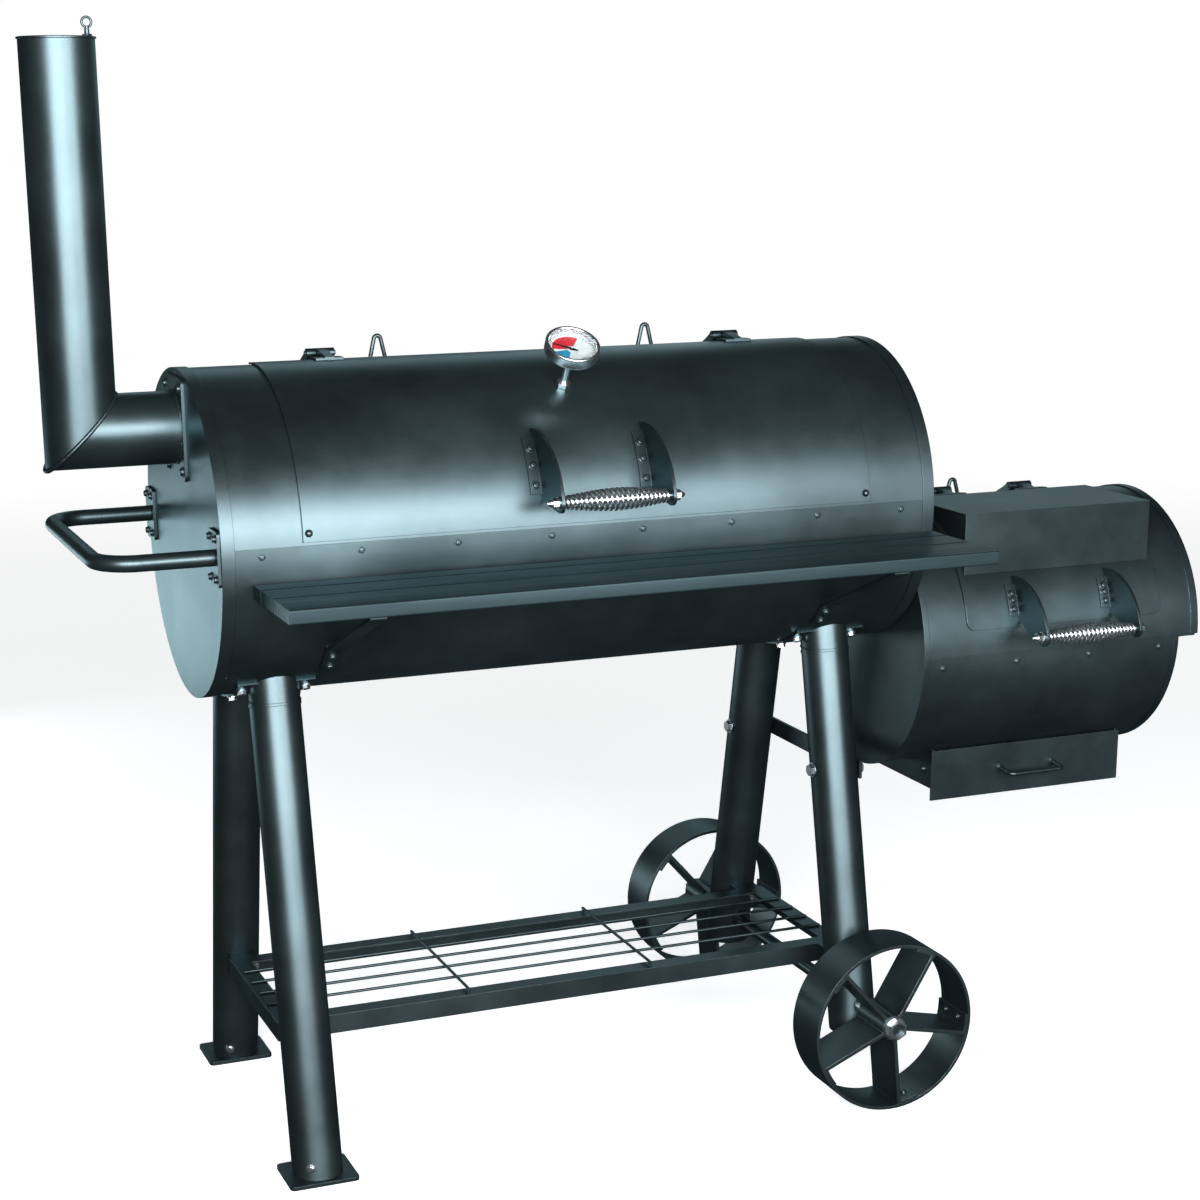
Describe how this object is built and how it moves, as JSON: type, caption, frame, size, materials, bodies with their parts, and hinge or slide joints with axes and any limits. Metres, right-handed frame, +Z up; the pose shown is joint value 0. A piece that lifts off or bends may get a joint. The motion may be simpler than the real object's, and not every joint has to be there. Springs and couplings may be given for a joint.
{
  "type": "offset smoker",
  "caption": "Barrel smoker with a hinged lid, chimney, front shelf, wheeled leg frame with bottom rack, and a lower side firebox with its own lid and ash drawer.",
  "frame": {"origin": "centre of the bounding box on the ground", "axes": "+X along the barrel towards the firebox, -Y is the front with the shelf, +Z up"},
  "size_m": [1.5458, 0.69, 1.3911],
  "materials": {
    "black_steel": "satin heat-resistant black paint",
    "black_frame": "satin black paint on tube and flat bar",
    "black_wood": "black-painted slats",
    "bright_chrome": "bright chrome plating",
    "zinc_bolt": "bright zinc plating",
    "grate_steel": "plain steel rod",
    "rack_wire": "black-painted wire",
    "dial_white": "printed white dial",
    "dial_glass": "clear lens",
    "needle_black": "matt black",
    "gasket_cord": "heat-resistant sealing cord plate"
  },
  "bodies": {
    "smoker_body": {"barrel_lower_shell": "black_steel", "barrel_upper_shell": "black_steel", "barrel_inner_strips": "black_steel", "barrel_cap_left": "black_steel", "barrel_cap_right": "black_steel", "firebox_lower_shell": "black_steel", "firebox_upper_shell": "black_steel", "firebox_end_left": "black_steel", "firebox_end_right_upper": "black_steel", "firebox_end_right_lower": "black_steel", "passage_gasket": "gasket_cord", "hinge_bases": "black_frame", "lid_stops": "black_frame", "chimney_pipe": "black_steel", "chimney_flange": "black_steel", "push_handle": "black_frame", "push_handle_flanges": "black_frame", "shelf_slat_front": "black_wood", "shelf_slat_middle": "black_wood", "shelf_slat_rear": "black_wood", "shelf_supports": "black_frame", "leg_left_front": "black_frame", "leg_left_rear": "black_frame", "leg_right_front": "black_frame", "leg_right_rear": "black_frame", "leg_saddles": "black_frame", "foot_plates": "black_frame", "axle": "black_frame", "axle_nuts": "zinc_bolt", "leg_brace": "black_frame", "rack_frame": "black_frame", "rack_wires": "rack_wire", "rack_brackets": "black_frame", "drawer_housing": "black_steel", "cooking_grate_left": "grate_steel", "cooking_grate_right": "grate_steel", "charcoal_grate": "grate_steel", "small_bolts": "black_steel", "frame_bolts": "zinc_bolt"},
    "main_lid": {"lid_panel": "black_steel", "lid_hinge_leaves": "black_frame", "lid_handle_fins": "black_frame", "lid_handle_rod": "bright_chrome", "lid_handle_spring": "bright_chrome", "thermometer_body": "bright_chrome", "thermometer_dial": "dial_white", "thermometer_glass": "dial_glass"},
    "needle": {"thermometer_needle": "needle_black"},
    "firebox_lid": {"firebox_lid_panel": "black_steel", "firebox_hood": "black_steel", "firebox_hinge_leaves": "black_frame", "firebox_handle_fins": "black_frame", "firebox_handle_rod": "bright_chrome", "firebox_handle_spring": "bright_chrome"},
    "drawer": {"ash_drawer": "black_steel", "drawer_pull": "black_frame"},
    "chimney_cap_disc": {"chimney_cap": "black_steel"},
    "air_disc": {"air_damper": "black_frame"},
    "front_wheel": {"wheel_front": "black_frame"},
    "rear_wheel": {"wheel_rear": "black_frame"}
  },
  "joints": [
    {"name": "lid_hinge", "type": "hinge", "parent": "smoker_body", "child": "main_lid", "pos_m": [-0.13558, 0.058, 0.99089], "axis": [-1, 0, 0], "range_deg": [0, 167]},
    {"name": "firebox_lid_hinge", "type": "hinge", "parent": "smoker_body", "child": "firebox_lid", "pos_m": [0.55793, 0.075, 0.75594], "axis": [-1, 0, 0], "range_deg": [0, 161]},
    {"name": "drawer_slide", "type": "slide", "parent": "smoker_body", "child": "drawer", "axis": [0, -1, 0], "range_m": [0, 0.17]},
    {"name": "chimney_cap_swivel", "type": "hinge", "parent": "smoker_body", "child": "chimney_cap_disc", "pos_m": [-0.69007, 0.02, 1.365], "axis": [0, 0, 1], "range_deg": [-170, 170]},
    {"name": "air_damper_turn", "type": "hinge", "parent": "smoker_body", "child": "air_disc", "pos_m": [0.74192, 0.02, 0.478], "axis": [1, 0, 0], "range_deg": [-45, 45]},
    {"name": "front_wheel_spin", "type": "hinge", "parent": "smoker_body", "child": "front_wheel", "pos_m": [0.23492, -0.2595, 0.1143], "axis": [0, 1, 0], "continuous": true},
    {"name": "rear_wheel_spin", "type": "hinge", "parent": "smoker_body", "child": "rear_wheel", "pos_m": [0.23492, 0.2995, 0.1143], "axis": [0, 1, 0], "continuous": true},
    {"name": "needle_turn", "type": "hinge", "parent": "main_lid", "child": "needle", "pos_m": [-0.14708, -0.12032, 0.9938], "axis": [0, -0.5505, 0.8348], "range_deg": [-195, 75], "stiffness_Nm_per_rad": 0.002}
  ]
}
